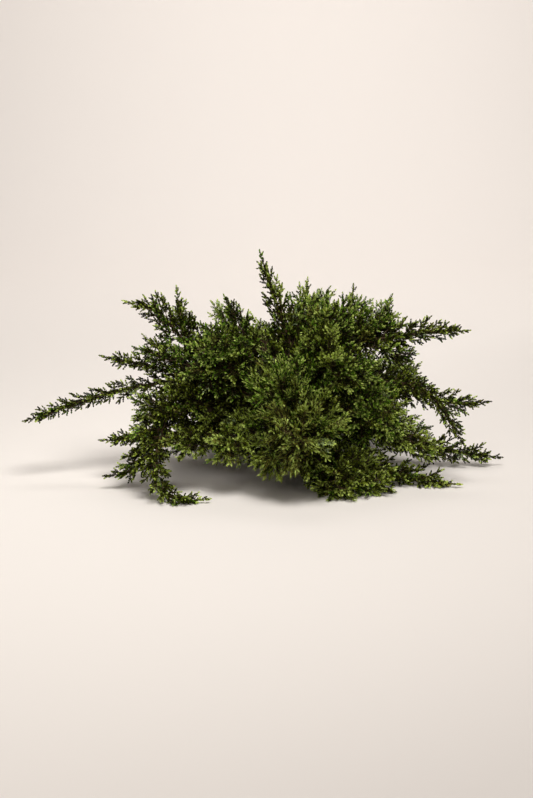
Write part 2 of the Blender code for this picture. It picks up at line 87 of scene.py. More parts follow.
# A bough leaves its parent at a height on the trunk, or at a share of a parent bough's
# length, and runs to its end. rise lifts the middle of its line.
Bough = namedtuple("Bough", "parent start end rise")
BOUGHS = {
    "bough_left": Bough("trunk", 118, (-182, -10, 168), 0),
    "bough_left_tall": Bough("trunk", 137, (-212, 16, 222), 0),
    "bough_left_shoulder": Bough("trunk", 100, (-96, -26, 138), 0),
    "bough_left_low": Bough("trunk", 74, (-138, -40, 100), 10),
    "bough_left_ground": Bough("bough_left_low", 0.42, (-250, -108, 108), 0),
    "bough_front_left": Bough("trunk", 56, (-60, -58, 84), 7),
    "bough_front_centre": Bough("trunk", 70, (-7, -65, 93), 4),
    "bough_front_upper": Bough("trunk", 127, (5, -34, 177), 0),
    "bough_front_ground": Bough("trunk", 34, (30, -75, 46), 7),
    "bough_front_right": Bough("trunk", 90, (57, -32, 116), 3),
    "bough_right_front_ground": Bough("trunk", 50, (88, -78, 26), 5),
    "bough_right_mid": Bough("trunk", 108, (97, -9, 168), 0),
    "bough_right_upper": Bough("trunk", 144, (98, 2, 232), 0),
    "bough_right_ground": Bough("trunk", 60, (102, 30, 61), 10),
    "bough_top_right": Bough("trunk", 166, (43, 34, 206), 0),
    "bough_top_left": Bough("trunk", 172, (-96, -3, 214), 0),
    "bough_back_left": Bough("trunk", 83, (-84, 65, 104), 11),
    "bough_back_centre": Bough("trunk", 64, (-14, 79, 88), 10),
    "bough_back_right": Bough("trunk", 96, (47, 68, 102), 10),
    "bough_back_top": Bough("trunk", 151, (-26, 58, 179), 0),
}

# A mass grows from a bough's end, or the trunk's tip, to its own tip. reach is how far its
# side sprays stand out, and core is the core's radius as a share of reach, 0 for none. arch
# lifts the outer part of the stem, as a share of its run, and below 0 it lets the stem sag.
# lead is how far the stem keeps to its bough's direction, and swing how far it bows to its
# right, seen from above, both as a share of its run.
Mass = namedtuple("Mass", "limb tip reach core arch lead swing", defaults=(0.03, 0.25, 0))
MASSES = {
    "foliage_left_long_spray": Mass("bough_left", (-488, -60, 99), 28, 0, 0.03, 0.25, 0.16),
    "foliage_left_upper_spray": Mass("bough_left", (-364, 14, 197), 27, 0, 0.03),
    "foliage_left_tall": Mass("bough_left_tall", (-320, 20, 278), 38, 0, 0.5, 0.2),
    "foliage_left_tall_side": Mass("bough_left_tall", (-233, 26, 317), 32, 0),
    "foliage_left_shoulder": Mass("bough_left_shoulder", (-292, -22, 213), 50, 0.5, 0.12),
    "foliage_left_mid": Mass("bough_left_shoulder", (-300, -88, 114), 56, 0.5),
    "foliage_left_low": Mass("bough_left_low", (-227, -161, 77), 52, 0.5, -0.08, 0.12),
    "foliage_left_side_spray": Mass("bough_left_low", (-360, -60, 66), 34, 0, -0.03),
    "foliage_left_ground_spray": Mass("bough_left_ground", (-169, -214, 8), 34, 0, -0.3, 0.3, 0.7),
    "foliage_left_ground_side": Mass("bough_left_ground", (-342, -130, 42), 46, 0, -0.7, 0.2),
    "foliage_front_left": Mass("bough_front_left", (-160, -176, 78), 62, 0.52),
    "foliage_front_low": Mass("bough_front_left", (-64, -207, 55), 60, 0.52),
    "foliage_front_left_upper": Mass("bough_top_left", (-180, -130, 184), 82, 0.52),
    "foliage_front_centre": Mass("bough_front_centre", (-28, -246, 100), 90, 0.52),
    "foliage_front_upper_left": Mass("bough_front_centre", (-64, -150, 196), 90, 0.52),
    "foliage_front_ground": Mass("bough_front_ground", (40, -211, 10), 66, 0.48),
    "foliage_front_right_ground": Mass("bough_front_ground", (119, -178, 6), 56, 0.4),
    "foliage_right_front_ground": Mass("bough_right_front_ground", (250, -122, 4), 36, 0, -0.02),
    "foliage_front_right": Mass("bough_front_right", (134, -144, 114), 74, 0.52),
    "foliage_right_low": Mass("bough_front_right", (216, -106, 50), 50, 0.42),
    "foliage_right_mid_spray": Mass("bough_right_mid", (314, 15, 119), 32, 0, -0.12, 0.45),
    "foliage_right_drooping": Mass("bough_right_mid", (256, -100, 66), 28, 0, 0.5, 0.28, 0.08),
    "foliage_right_long_spray": Mass("bough_right_upper", (272, 0, 242), 34, 0, 0.1),
    "foliage_right_shoulder_low": Mass("bough_right_upper", (174, 8, 188), 44, 0.45, 0.03, 0.1),
    "foliage_right_ground": Mass("bough_right_ground", (338, 30, 13), 34, 0, -0.02),
    "foliage_right_shoulder": Mass("bough_top_right", (150, 20, 270), 58, 0.5),
    "foliage_top_right": Mass("bough_top_right", (90, 50, 297), 50, 0.45),
    "foliage_top_spire": Mass("trunk", (-88, 20, 379), 34, 0, 0.03, 0.25, -0.03),
    "foliage_top_centre": Mass("trunk", (12, 50, 308), 58, 0.5),
    "foliage_top_left": Mass("bough_top_left", (-172, 10, 292), 40, 0.5),
    "foliage_front_top": Mass("bough_front_upper", (38, -52, 304), 68, 0.5),
    "foliage_front_upper_right": Mass("bough_front_upper", (70, -138, 194), 82, 0.52),
    "foliage_back_left": Mass("bough_back_left", (-232, 172, 124), 70, 0.52),
    "foliage_back_left_ground": Mass("bough_back_left", (-170, 262, 24), 66, 0.45),
    "foliage_back_centre": Mass("bough_back_centre", (-58, 246, 134), 70, 0.52),
    "foliage_back_right": Mass("bough_back_right", (196, 146, 146), 66, 0.52),
    "foliage_back_right_ground": Mass("bough_back_right", (100, 270, 20), 64, 0.42),
    "foliage_back_top_left": Mass("bough_back_top", (-175, 140, 200), 58, 0.52),
    "foliage_back_top": Mass("bough_back_top", (8, 150, 246), 68, 0.52),
}

# Foliage. Each branchlet is a plump spindle of needles, in rings of three.
SHOOT_STEP = 4.8
SIDE_STEP = 6.2
BRANCHLET_STEP = 3.7
BRANCHLET_LENGTH = 12.5
SHORTEST_SHOOT = 20.0
TIP_SHOOT = 30.0
CLOTHED_SHARE = 0.6
CLOTHED_STEP = 13.0
INNER_STEP = 5.0
STEM_STEP = 2.6
RINGS = 3
FLOOR_GAP = 2.6

# Painted shade: how much foliage may lie over a branchlet, outwards from the crown's middle line
# lifted by LIGHT_LIFT towards the light, before it is painted THIN_SHADE_DROP tones darker, and
# THICK_SHADE_DROP: branchlets in this many cells of this size. Past BARE_COVER, half of them are gone.
LIGHT_LIFT = 0.6
CROWN_MIDDLE = [(-150, 0, 90), (110, 0, 90)]
DEPTH_CELL = 12.0
DEPTH_CELLS = 4
THIN_COVER = 5
THICK_COVER = 10
THIN_SHADE_DROP = 1
THICK_SHADE_DROP = 3
BARE_COVER = 18

# The needles of a branchlet: their length and width, and their angle to its axis in its first
# ring and its last. Then the least angle of its kind of branchlet to the shoot, and how long
# it is against BRANCHLET_LENGTH. Angles are in degrees.
Needles = namedtuple("Needles", "length width first last lean stretch")
SCALES = Needles(5.7, 2.4, 29, 8, 38, 1.0)
SPINDLES = Needles(5.6, 2.9, 21, 5, 38, 1.05)
THREADS = Needles(8.5, 1.4, 10, 3, 24, 1.5)

# How many of a mass's shoots carry threads: none of the slender ones, and few of the others.
THREAD_SHARE = 0.08
THREAD_SHARES = {
    "foliage_front_centre": 0.85,
    "foliage_front_low": 0.5,
    "foliage_front_upper_left": 0.2,
    "foliage_front_ground": 0.3,
}


# Lines


def bezier(corners, count):
    """Points along a cubic curve with these four corners."""
    points = []
    for i in range(count):
        t = i / (count - 1)
        u = 1 - t
        weights = (u**3, 3 * u * u * t, 3 * u * t * t, t**3)
        points.append(sum((Vector(c) * w for c, w in zip(corners, weights)), Vector()))
    return points


def smooth_through(corners, steps):
    """A smooth line through these points, with this many steps between each two."""
    corners = [Vector(c) for c in corners]
    line = [corners[0]]
    for i in range(len(corners) - 1):
        before = corners[max(i - 1, 0)]
        start, end = corners[i], corners[i + 1]
        after = corners[min(i + 2, len(corners) - 1)]
        out = start + (end - before) / 6
        arrive = end - (after - start) / 6
        line += bezier((start, out, arrive, end), steps + 1)[1:]
    return line


def length_of(line):
    return sum((b - a).length for a, b in zip(line, line[1:]))


def point_along(line, share):
    """The point at this share of a line's length."""
    left = share * length_of(line)
    for a, b in zip(line, line[1:]):
        step = (b - a).length
        if left <= step:
            return a.lerp(b, left / step)
        left -= step
    return line[-1].copy()


def point_at_height(line, height):
    for a, b in zip(line, line[1:]):
        if a.z <= height <= b.z:
            return a.lerp(b, (height - a.z) / (b.z - a.z))
    raise ValueError(f"the line doesn't reach {height} mm")


# Limbs


def trunk_limb():
    line = smooth_through(TRUNK_LINE, 14)
    radii = []
    for point in line:
        share = point.z / line[-1].z
        radius = TRUNK_BASE_RADIUS + (TRUNK_TIP_RADIUS - TRUNK_BASE_RADIUS) * share
        flare = (TRUNK_FOOT_RADIUS - TRUNK_BASE_RADIUS) * math.exp(-point.z / ROOT_FLARE_HEIGHT)
        radii.append(radius + flare)
    return line, radii


def bough_limb(bough, limbs, tips):
    parent_line = limbs[bough.parent][0]
    on_trunk = bough.parent == "trunk"
    start = point_at_height(parent_line, bough.start) if on_trunk else point_along(parent_line, bough.start)
    end = Vector(bough.end)
    run = (end - start).length
    level = Vector((end.x - start.x, end.y - start.y, 0)).normalized()
    leave = (end - start).normalized() * 0.6 + level * 0.4
    aim = sum(((tip - end).normalized() for tip in tips), Vector()).normalized()
    lift = Vector((0, 0, bough.rise))
    corners = (start, start + leave * run * 0.33 + lift, end - aim * run * 0.28 + lift * 0.5, end)
    line = bezier(corners, max(12, round(run / 4)))
    first = BOUGH_FOOT_RADIUS if on_trunk else BOUGH_FORK_RADIUS
    last = BOUGH_FORK_RADIUS if len(tips) > 1 else BOUGH_END_RADIUS
    return line, [first + (last - first) * i / (len(line) - 1) for i in range(len(line))]


def stem_starts(end, direction, tips):
    foot = end + direction * CLEARANCE
    if len(tips) == 1:
        return [foot]
    apart = tips[0] - tips[1]
    apart -= direction * direction.dot(apart)
    side = apart.normalized() * FORK_HALF_GAP
    return [foot + side, foot - side]


def stem_line(start, direction, tip, mass):
    run = (tip - start).length
    right = (tip - start).cross(Vector((0, 0, 1))).normalized()
    bow = (Vector((0, 0, mass.arch)) + right * mass.swing) * run
    foot = start + direction * STEM_LEAD
    corners = (foot, start + direction * run * mass.lead, tip.lerp(start, 0.35) + bow, tip)
    return [start, *bezier(corners, 24)]


# Meshes from arrays


class Mesh:
    """Points and faces that gather into one mesh."""

    def __init__(self):
        self.points, self.faces, self.count = [], [], 0

    def add(self, points, faces):
        self.points.append(np.asarray(points, np.float64))
        self.faces.append(np.asarray(faces, np.int64) + self.count)
        self.count += len(points)

    def build(self, name, smooth):
        """An object from what was gathered. All its faces have the same number of corners."""
        points = np.concatenate(self.points) * MM
        faces = np.concatenate(self.faces)
        sides = faces.shape[1]
        mesh = bpy.data.meshes.new(name)
        mesh.vertices.add(len(points))
        mesh.vertices.foreach_set("co", points.astype(np.float32).ravel())
        mesh.loops.add(faces.size)
        mesh.loops.foreach_set("vertex_index", faces.astype(np.int32).ravel())
        mesh.polygons.add(len(faces))
        mesh.polygons.foreach_set("loop_start", np.arange(0, faces.size, sides, dtype=np.int32))
        mesh.polygons.foreach_set("use_smooth", np.full(len(faces), smooth))
        mesh.update(calc_edges=True)
        mesh.validate()
        obj = bpy.data.objects.new(name, mesh)
        bpy.context.scene.collection.objects.link(obj)
        return obj


def tube(line, radii, sides, relief=None):
    """Points and triangles of a tube that ends in a point, with relief(place, angle) added."""
    count = len(line)
    along = [(line[min(i + 1, count - 1)] - line[max(i - 1, 0)]).normalized() for i in range(count)]
    side = along[0].orthogonal().normalized()
    points = []
    for i in range(count):
        side = (side - along[i] * along[i].dot(side)).normalized()
        other = along[i].cross(side)
        for k in range(sides):
            angle = 2 * math.pi * k / sides
            out = side * math.cos(angle) + other * math.sin(angle)
            radius = radii[i]
            if relief:
                radius *= relief(line[i] + out * radius, angle)
            points.append(line[i] + out * radius)
    points.append(line[-1] + along[-1] * radii[-1])
    faces = []
    for i in range(count - 1):
        for k in range(sides):
            a, b = i * sides + k, i * sides + (k + 1) % sides
            c, d = a + sides, b + sides
            faces += [(a, b, d), (a, d, c)]
    last = (count - 1) * sides
    faces += [(last + k, last + (k + 1) % sides, count * sides) for k in range(sides)]
    return np.array(points), np.array(faces)


# Growth


Branchlet = namedtuple("Branchlet", "base direction normal length hue tone form")


def spray_length(widest, ahead, dense=False):
    """Side shoots grow longer away from the tip, up to the spray's widest."""
    return min(widest, 24 + 1.0 * ahead if dense else 10 + 0.5 * ahead)


class Growth:
    """The twigs and branchlets of one side of the crown, and the rule that grows them."""

    def __init__(self):
        self.twigs = []
        self.branchlets = []
        self.painted_shade, self.green, self.threads = 0, GREEN_SHARE, 0
        self.plain_form = self.form = SCALES

    def look(self, chance, base):
        """The hue and the tone of one spray."""
        tone = chance.choice(SPRAY_TONES)
        for spot in SPOTS:
            if (base - Vector(spot.place)).length < spot.radius and chance.random() < spot.share:
                return spot.hue, tone
        roll = chance.random()
        for hue, share in (("green", self.green), ("olive", OLIVE_SHARE), ("glaucous", GLAUCOUS_SHARE)):
            roll -= share
            if roll < 0:
                return hue, tone
        return "moss", tone

    def tone(self, chance, tone, share):
        """The tone of one branchlet, at this share of a shoot of this tone, moved by the mass's painted shade."""
        tone += chance.choice((-2, -1, 0, 1, 1)) + (chance.random() < share - 0.2)
        # Painted shade of the mass, and painted light where it is below 0.
        tone -= math.floor(self.painted_shade + chance.random())
        return min(max(tone, 0), TONES - 1)

    def settle(self, point):
        """Foliage that would go below the floor lies on it."""
        if point.z < FLOOR_GAP:
            point.z = FLOOR_GAP
        return point

    def branchlet(self, base, direction, normal, length, hue, tone):
        tip = self.settle(base + direction * length)
        direction = tip - base
        if direction.length > 3:
            self.branchlets.append(
                Branchlet(base, direction.normalized(), normal, direction.length, hue, tone, self.form)
            )

    def shoot(self, chance, base, direction, normal, length, along, look, level):
        """A shoot bends towards its parent's direction, carries side shoots and branchlets, and
        ends in a branchlet of its own. length is the whole."""
        if level == 1:
            self.form = THREADS if chance.random() < self.threads else self.plain_form
        if level == 2 and chance.random() < 0.5:
            look = self.look(chance, base)
        hue, tone = look
        run = max(4, length - BRANCHLET_LENGTH + 3)
        steps = max(2, round(run / 9))
        bend = (along * 0.25 + Vector((0, 0, 0.1))) / run
        line = []
        for i in range(steps + 1):
            s = run * i / steps
            line.append(self.settle(base + direction * s + bend * s * s))
        foot = 1.0 if level == 1 else 0.7
        self.twigs.append((line, [foot + (0.35 - foot) * i / steps for i in range(steps + 1)]))
        step = SIDE_STEP if run > 26 else BRANCHLET_STEP
        count = max(2, round(run * 0.9 / step))
        for i in range(count):
            share = 0.1 + 0.88 * (i + 0.3) / count
            at = point_along(line, share)
            ahead = (point_along(line, min(1, share + 0.1)) - point_along(line, share - 0.1)).normalized()
            flat = normal - ahead * ahead.dot(normal)
            flat = flat.normalized() if flat.length > 1e-3 else ahead.orthogonal().normalized()
            side = ahead.cross(flat) * (1 if i % 2 else -1)
            side = Matrix.Rotation(chance.uniform(-0.75, 0.75), 3, ahead) @ side
            lean = math.radians(self.form.lean + chance.uniform(0, 16) - 10 * share)
            out = ahead * math.cos(lean) + side * math.sin(lean)
            turned = Matrix.Rotation(chance.uniform(-0.7, 0.7), 3, out) @ flat
            side_length = spray_length(0.58 * length, run * (1 - share)) * chance.uniform(0.85, 1.15)
            if side_length > SHORTEST_SHOOT and level < 3:
                self.shoot(chance, at, out, turned, side_length, ahead, look, level + 1)
                continue
            reach = BRANCHLET_LENGTH * self.form.stretch * (1.08 - 0.28 * share) * chance.uniform(0.82, 1.1)
            self.branchlet(at, out, turned, reach, hue, self.tone(chance, tone, share))
            if run > 26:
                across = Matrix.Rotation(chance.uniform(1.3, 1.9), 3, ahead) @ side
                out = ahead * math.cos(lean) + across * math.sin(lean)
                self.branchlet(at, out, turned, reach, hue, self.tone(chance, tone, share))
        self.clothe(chance, line, normal, hue, tone)
        ahead = (line[-1] - line[-2]).normalized()
        length = BRANCHLET_LENGTH * chance.uniform(0.85, 1.05)
        self.branchlet(line[-1] - ahead * 3, ahead, normal, length, hue, self.tone(chance, tone, 1))

    def clothe(self, chance, line, normal, hue, tone):
        """The young outer part of a shoot has needles round its own axis."""
        run = length_of(line)
        count = round(run * CLOTHED_SHARE / CLOTHED_STEP)
        for i in range(count):
            start = point_along(line, 1 - CLOTHED_SHARE * (i + 1) / count)
            end = point_along(line, 1 - CLOTHED_SHARE * i / count)
            self.branchlet(start, (end - start).normalized(), normal, (end - start).length * 1.15, hue, self.tone(chance, tone, 0))

    def clothe_stem(self, chance, stem):
        """The stem of a slender spray is hidden by branchlets that lie along it."""
        count = round(length_of(stem) / STEM_STEP)
        for i in range(count):
            share = (i + 0.5) / count
            at = point_along(stem, share)
            ahead = (point_along(stem, min(1, share + 0.05)) - point_along(stem, share - 0.05)).normalized()
            out = Matrix.Rotation(math.radians(GOLDEN_ANGLE * i), 3, ahead) @ ahead.orthogonal().normalized()
            direction = (ahead + out * 0.3).normalized()
            hue, tone = self.look(chance, at)
            length = BRANCHLET_LENGTH * chance.uniform(0.9, 1.15)
            self.branchlet(at + out, direction, out, length, hue, self.tone(chance, tone, 0))

    def inner_shoots(self, name, line):
        """Short shoots stand along the outer part of a bough."""
        chance = random.Random(name)
        run = length_of(line)
        count = round(run * 0.8 / INNER_STEP)
        for i in range(count):
            share = 0.2 + 0.8 * (i + 0.5) / count
            along = (point_along(line, min(1, share + 0.05)) - point_along(line, share - 0.05)).normalized()
            roll = math.radians(GOLDEN_ANGLE * i + chance.uniform(-20, 20))
            out = Matrix.Rotation(roll, 3, along) @ along.orthogonal().normalized()
            lean = math.radians(chance.uniform(45, 65))
            direction = along * math.cos(lean) + out * math.sin(lean)
            normal = direction.cross(along).normalized()
            length = chance.uniform(36, 72)
            base = point_along(line, share)
            self.shoot(chance, base, direction, normal, length, along, self.look(chance, base), 1)

    def mass(self, name, line):
        """Shoots leave a mass's stem by the solids' rule: by the golden angle, and shorter and
        more forward towards the tip."""
        mass = MASSES[name]
        # The mass's painted shade, and painted light where it is below 0.
        self.painted_shade = PAINTED_SHADES.get(name, 0 if mass.core else SLENDER_PAINTED_SHADE)
        self.green = LUSH_GREEN_SHARE if name in LUSH_MASSES else GREEN_SHARE
        self.threads = THREAD_SHARES.get(name, THREAD_SHARE if mass.core else 0)
        self.plain_form = SCALES if mass.core else SPINDLES
        chance = random.Random(name)
        run = length_of(line)
        end = 1 - TIP_SHOOT / run
        stem = [point_along(line, end * i / 24) for i in range(25)]
        self.twigs.append((stem, [
            STEM_FOOT_RADIUS + (STEM_END_RADIUS - STEM_FOOT_RADIUS) * i / 24 for i in range(25)
        ]))
        count = round(run * end / SHOOT_STEP)
        for i in range(count):
            share = 0.04 + 0.96 * (i + 0.5) / count
            base = point_along(stem, share)
            along = (point_along(stem, min(1, share + 0.06)) - point_along(stem, max(0, share - 0.06))).normalized()
            across = along.orthogonal().normalized()
            lean = math.radians(62 - 26 * share + chance.uniform(-8, 8))
            ahead = run * (1 - share * end) - 14
            length = spray_length(mass.reach * (1.3 - 0.4 * share), ahead, mass.core > 0)
            length *= chance.uniform(0.82, 1.08)
            roll = math.radians(GOLDEN_ANGLE * i + chance.uniform(-20, 20))
            out = Matrix.Rotation(roll, 3, along) @ across
            direction = along * math.cos(lean) + out * math.sin(lean)
            normal = Matrix.Rotation(chance.uniform(-0.8, 0.8), 3, direction) @ direction.cross(along).normalized()
            self.shoot(chance, base, direction, normal, length, along, self.look(chance, base), 1)
        ahead = (stem[-1] - stem[-2]).normalized()
        across = ahead.orthogonal().normalized()
        self.form = self.plain_form
        if not mass.core:
            self.clothe_stem(chance, stem)
        self.shoot(chance, stem[-1], ahead, across, TIP_SHOOT, ahead, self.look(chance, stem[-1]), 3)


# Colours of the needles. A spray has a hue and a tone, and each needle takes the colour at its
# own tone on the ladder of that hue. The deep rung, near black, is mostly painted shade, and the
# tip rung is partly paler young growth and partly painted light.
COLOURS = {
    "deep": (0.015, 0.015, 0.003),
    "low": (0.050, 0.060, 0.005),
    "mid": (0.114, 0.148, 0.010),
    "bright": (0.258, 0.335, 0.026),
    "tip": (0.545, 0.660, 0.165),
    "green": (0.072, 0.152, 0.010),
    "leaf": (0.172, 0.330, 0.022),
    "olive": (0.250, 0.240, 0.045),
    "glaucous": (0.340, 0.430, 0.230),
}
LADDERS = {
    "moss": ("deep", "low", "mid", "bright", "tip"),
    "green": ("deep", "low", "green", "leaf", "tip"),
    "olive": ("deep", "low", "olive", "olive", "tip"),
    "glaucous": ("deep", "low", "glaucous", "glaucous", "tip"),
}
TONES = 5
HUES = list(LADDERS)
COLOUR_NAMES = list(COLOURS)
LADDER_TABLE = np.array([[COLOUR_NAMES.index(colour) for colour in ladder] for ladder in LADDERS.values()])

# The tones of sprays, one as likely as the other, and how many sprays aren't of the moss hue.
SPRAY_TONES = (1, 1, 2, 2, 2, 3)
OLIVE_SHARE = 0.06
GLAUCOUS_SHARE = 0.02
GREEN_SHARE = 0.15
LUSH_GREEN_SHARE = 0.6
LUSH_MASSES = (
    "foliage_left_shoulder",
    "foliage_front_left_upper",
    "foliage_front_upper_left",
    "foliage_front_upper_right",
    "foliage_front_top",
    "foliage_front_right",
    "foliage_right_shoulder",
    "foliage_right_shoulder_low",
    "foliage_top_left",
    "foliage_top_centre",
    "foliage_top_right",
    "foliage_back_top_left",
    "foliage_back_top",
)

# How many tones darker a mass's foliage is painted than that, as painted shade, below 0 lighter
# as painted light, and how many tones darker the slender sprays are painted, as painted shade.
SLENDER_PAINTED_SHADE = 1.1
PAINTED_SHADES = {
    "foliage_top_spire": 0.1,
    "foliage_left_tall": 0.7,
    "foliage_left_tall_side": 0.7,
    "foliage_left_shoulder": 1.2,
    "foliage_left_mid": 0.3,
    "foliage_front_left_upper": 0.8,
    "foliage_front_top": -0.3,
    "foliage_top_centre": -0.3,
    "foliage_top_right": -0.3,
    "foliage_front_centre": -0.8,
    "foliage_front_low": -0.7,
    "foliage_right_front_ground": 0.4,
    "foliage_right_mid_spray": 1.6,
    "foliage_right_drooping": 1.5,
    "foliage_right_long_spray": 1.3,
}

# Places whose sprays mostly take a hue of their own: how far round a place, and how many.
Spot = namedtuple("Spot", "hue place radius share")
SPOTS = [
    Spot("olive", (-25, -205, 112), 78, 0.6),
    Spot("glaucous", (32, -160, 214), 30, 0.7),
    Spot("glaucous", (-156, 0, 276), 16, 0.7),
    Spot("glaucous", (-204, -105, 222), 30, 0.4),
    Spot("glaucous", (-187, -190, 125), 32, 0.4),
]


# Needles


def paint_inner_shade(growths):
    """Painted shade: foliage with more foliage over it, outwards from the crown's middle line and a little upwards,
    is painted darker.
    """
    branchlets = [b for growth in growths for b in growth.branchlets]
    places = np.array([b.base + b.direction * b.length * 0.5 for b in branchlets])
    middle = np.array(CROWN_MIDDLE)
    nearest = middle[0].copy() + np.zeros_like(places)
    nearest[:, 0] = np.clip(places[:, 0], middle[0, 0], middle[1, 0])
    outward = places - nearest
    outward /= np.linalg.norm(outward, axis=1, keepdims=True)
    outward += (0, 0, LIGHT_LIFT)
    outward /= np.linalg.norm(outward, axis=1, keepdims=True)
    reach = DEPTH_CELL * (DEPTH_CELLS + 1)
    lowest = places.min(0) - reach
    grid = np.zeros(((places.max(0) + reach - lowest) / DEPTH_CELL).astype(int) + 1)
    np.add.at(grid, cells_of(places, lowest), 1)
    cover = sum(grid[cells_of(places + outward * DEPTH_CELL * k, lowest)] for k in range(1, DEPTH_CELLS + 1))
    print("cover", np.percentile(cover, (5, 10, 25, 50, 75, 90, 95)))
    # Painted shade: covered branchlets are painted tones darker.
    shade_drops = np.where(cover > THICK_COVER, THICK_SHADE_DROP, np.where(cover > THIN_COVER, THIN_SHADE_DROP, 0))
    kept = (cover < BARE_COVER) | (np.arange(len(cover)) % 2 == 0)
    rules = iter(zip(shade_drops, kept))
    for growth in growths:
        rated = [(b, *next(rules)) for b in growth.branchlets]
        growth.branchlets = [b._replace(tone=max(0, b.tone - shade_drop)) for b, shade_drop, stays in rated if stays]


def cells_of(places, lowest):
    return tuple(((places - lowest) / DEPTH_CELL).astype(int).T)


def needle_blades(branchlets, form, seed):
    """The corners of every needle, and the number of its colour. A branchlet has rings of three,
    and each needle is a pointed blade folded along its keel."""
    base, ahead, flat, side, length = axes(branchlets)
    hues = np.array([HUES.index(b.hue) for b in branchlets])
    tones = np.array([b.tone for b in branchlets])
    chance = np.random.default_rng(seed)
    count = len(branchlets)
    blades, colours = [], []
    for ring in range(RINGS):
        share = (ring + 0.1) / RINGS
        centre = base + ahead * length * share * 0.86
        spread = math.radians(form.first + (form.last - form.first) * ring / (RINGS - 1))
        size = form.length * (1.0 - 0.2 * share)
        for k in range(3):
            angle = math.pi * (2 * k + ring) / 3 + chance.uniform(-0.3, 0.3, (count, 1))
            out = flat * np.cos(angle) + side * np.sin(angle)
            lean = spread + chance.uniform(-0.1, 0.1, (count, 1))
            point = ahead * np.cos(lean) + out * np.sin(lean)
            back = ahead * -np.sin(lean) + out * np.cos(lean)
            long = size * chance.uniform(0.86, 1.12, (count, 1))
            half = np.cross(ahead, out) * form.width * 0.5
            belly = centre + point * long * 0.42 + back * form.width * 0.3
            blades.append(np.stack([centre, belly + half, centre + point * long, belly - half], 1))
            colours.append(LADDER_TABLE[hues, needle_tones(tones, ring, chance)])
    corners = np.concatenate(blades)
    corners[..., 2] = np.maximum(corners[..., 2], 0.4)
    return corners, np.concatenate(colours)


def axes(branchlets):
    """The foot, the three directions and the length of every branchlet."""
    base = np.array([b.base for b in branchlets])
    ahead = np.array([b.direction for b in branchlets])
    flat = np.array([b.normal for b in branchlets])
    flat -= ahead * (ahead * flat).sum(1, keepdims=True)
    flat /= np.maximum(np.linalg.norm(flat, axis=1, keepdims=True), 1e-6)
    length = np.array([b.length for b in branchlets])[:, None]
    return base, ahead, flat, np.cross(ahead, flat), length


def needle_tones(tones, ring, chance):
    """The tone of one needle of every branchlet: some needles three tones darker as painted shade between needles,
    darker at its foot as painted shade, and lighter at its tip as painted light.
    """
    steps = chance.choice((-3, -1, 0, 0, 1, 2), len(tones))
    # Painted shade at the needle's foot and painted light at its tip.
    steps -= (ring == 0) * chance.choice((0, 1, 2), len(tones))
    steps += (ring == RINGS - 1) * chance.choice((0, 1, 2), len(tones))
    return np.clip(tones + steps, 0, TONES - 1)


def axis_mesh(branchlets):
    """The thin green axis of every branchlet."""
    base, ahead, _, side, length = axes(branchlets)
    points = np.stack([base + 0.6 * side, base - 0.6 * side, base + ahead * length * 0.9], 1)
    return points.reshape(-1, 3), np.arange(len(branchlets) * 3).reshape(-1, 3)


# Finishes


def new_material(name, roughness):
    material = bpy.data.materials.new(name)
    material.use_nodes = True
    shader = material.node_tree.nodes["Principled BSDF"]
    shader.inputs["Roughness"].default_value = roughness
    return material, shader


def pattern(tree, kind, scale, **settings):
    """A texture node in the object's own coordinates, metres."""
    place = tree.nodes.new("ShaderNodeTexCoord")
    node = tree.nodes.new(kind)
    tree.links.new(place.outputs["Object"], node.inputs["Vector"])
    node.inputs["Scale"].default_value = scale
    for key, value in settings.items():
        node.inputs[key].default_value = value
    return node.outputs[0]


def ramp(tree, value, stops):
    node = tree.nodes.new("ShaderNodeValToRGB")
    while len(node.color_ramp.elements) < len(stops):
        node.color_ramp.elements.new(0.5)
    for element, (place, colour) in zip(node.color_ramp.elements, stops):
        element.position = place
        element.color = (*colour, 1)
    tree.links.new(value, node.inputs["Fac"])
    return node.outputs["Color"]


def scaled(colour, factor):
    return tuple(channel * factor for channel in colour)


def needle_material(name, colour):
    """A plain colour for each spray, with a slight drift of tone across the plant."""
    material, shader = new_material(name, 0.3)
    tree = material.node_tree
    drift = pattern(tree, "ShaderNodeTexNoise", 38, Detail=2)
    colours = ramp(tree, drift, [(0.3, scaled(colour, 0.82)), (0.7, scaled(colour, 1.18))])
    tree.links.new(colours, shader.inputs["Base Color"])
    shader.inputs["Specular IOR Level"].default_value = 0.2
    return material


def bark_material(name, dark, light, scale):
    material, shader = new_material(name, 0.85)
    tree = material.node_tree
    grain = pattern(tree, "ShaderNodeTexNoise", scale, Detail=6, Roughness=0.65)
    colours = ramp(tree, grain, [(0.32, dark), (0.7, light)])
    tree.links.new(colours, shader.inputs["Base Color"])
    bump = tree.nodes.new("ShaderNodeBump")
    bump.inputs["Strength"].default_value = 0.5
    bump.inputs["Distance"].default_value = 0.0012
    tree.links.new(grain, bump.inputs["Height"])
    tree.links.new(bump.outputs["Normal"], shader.inputs["Normal"])
    return material


# The plant


def bark_relief(place, angle):
    """Long strips of bark, raised and hollowed round the limb."""
    strips = noise.noise(Vector((math.cos(angle) * 2.6, math.sin(angle) * 2.6, place.z * 0.012)))
    flakes = noise.noise(place * 0.16)
    return 1 + 0.11 * strips + 0.05 * flakes


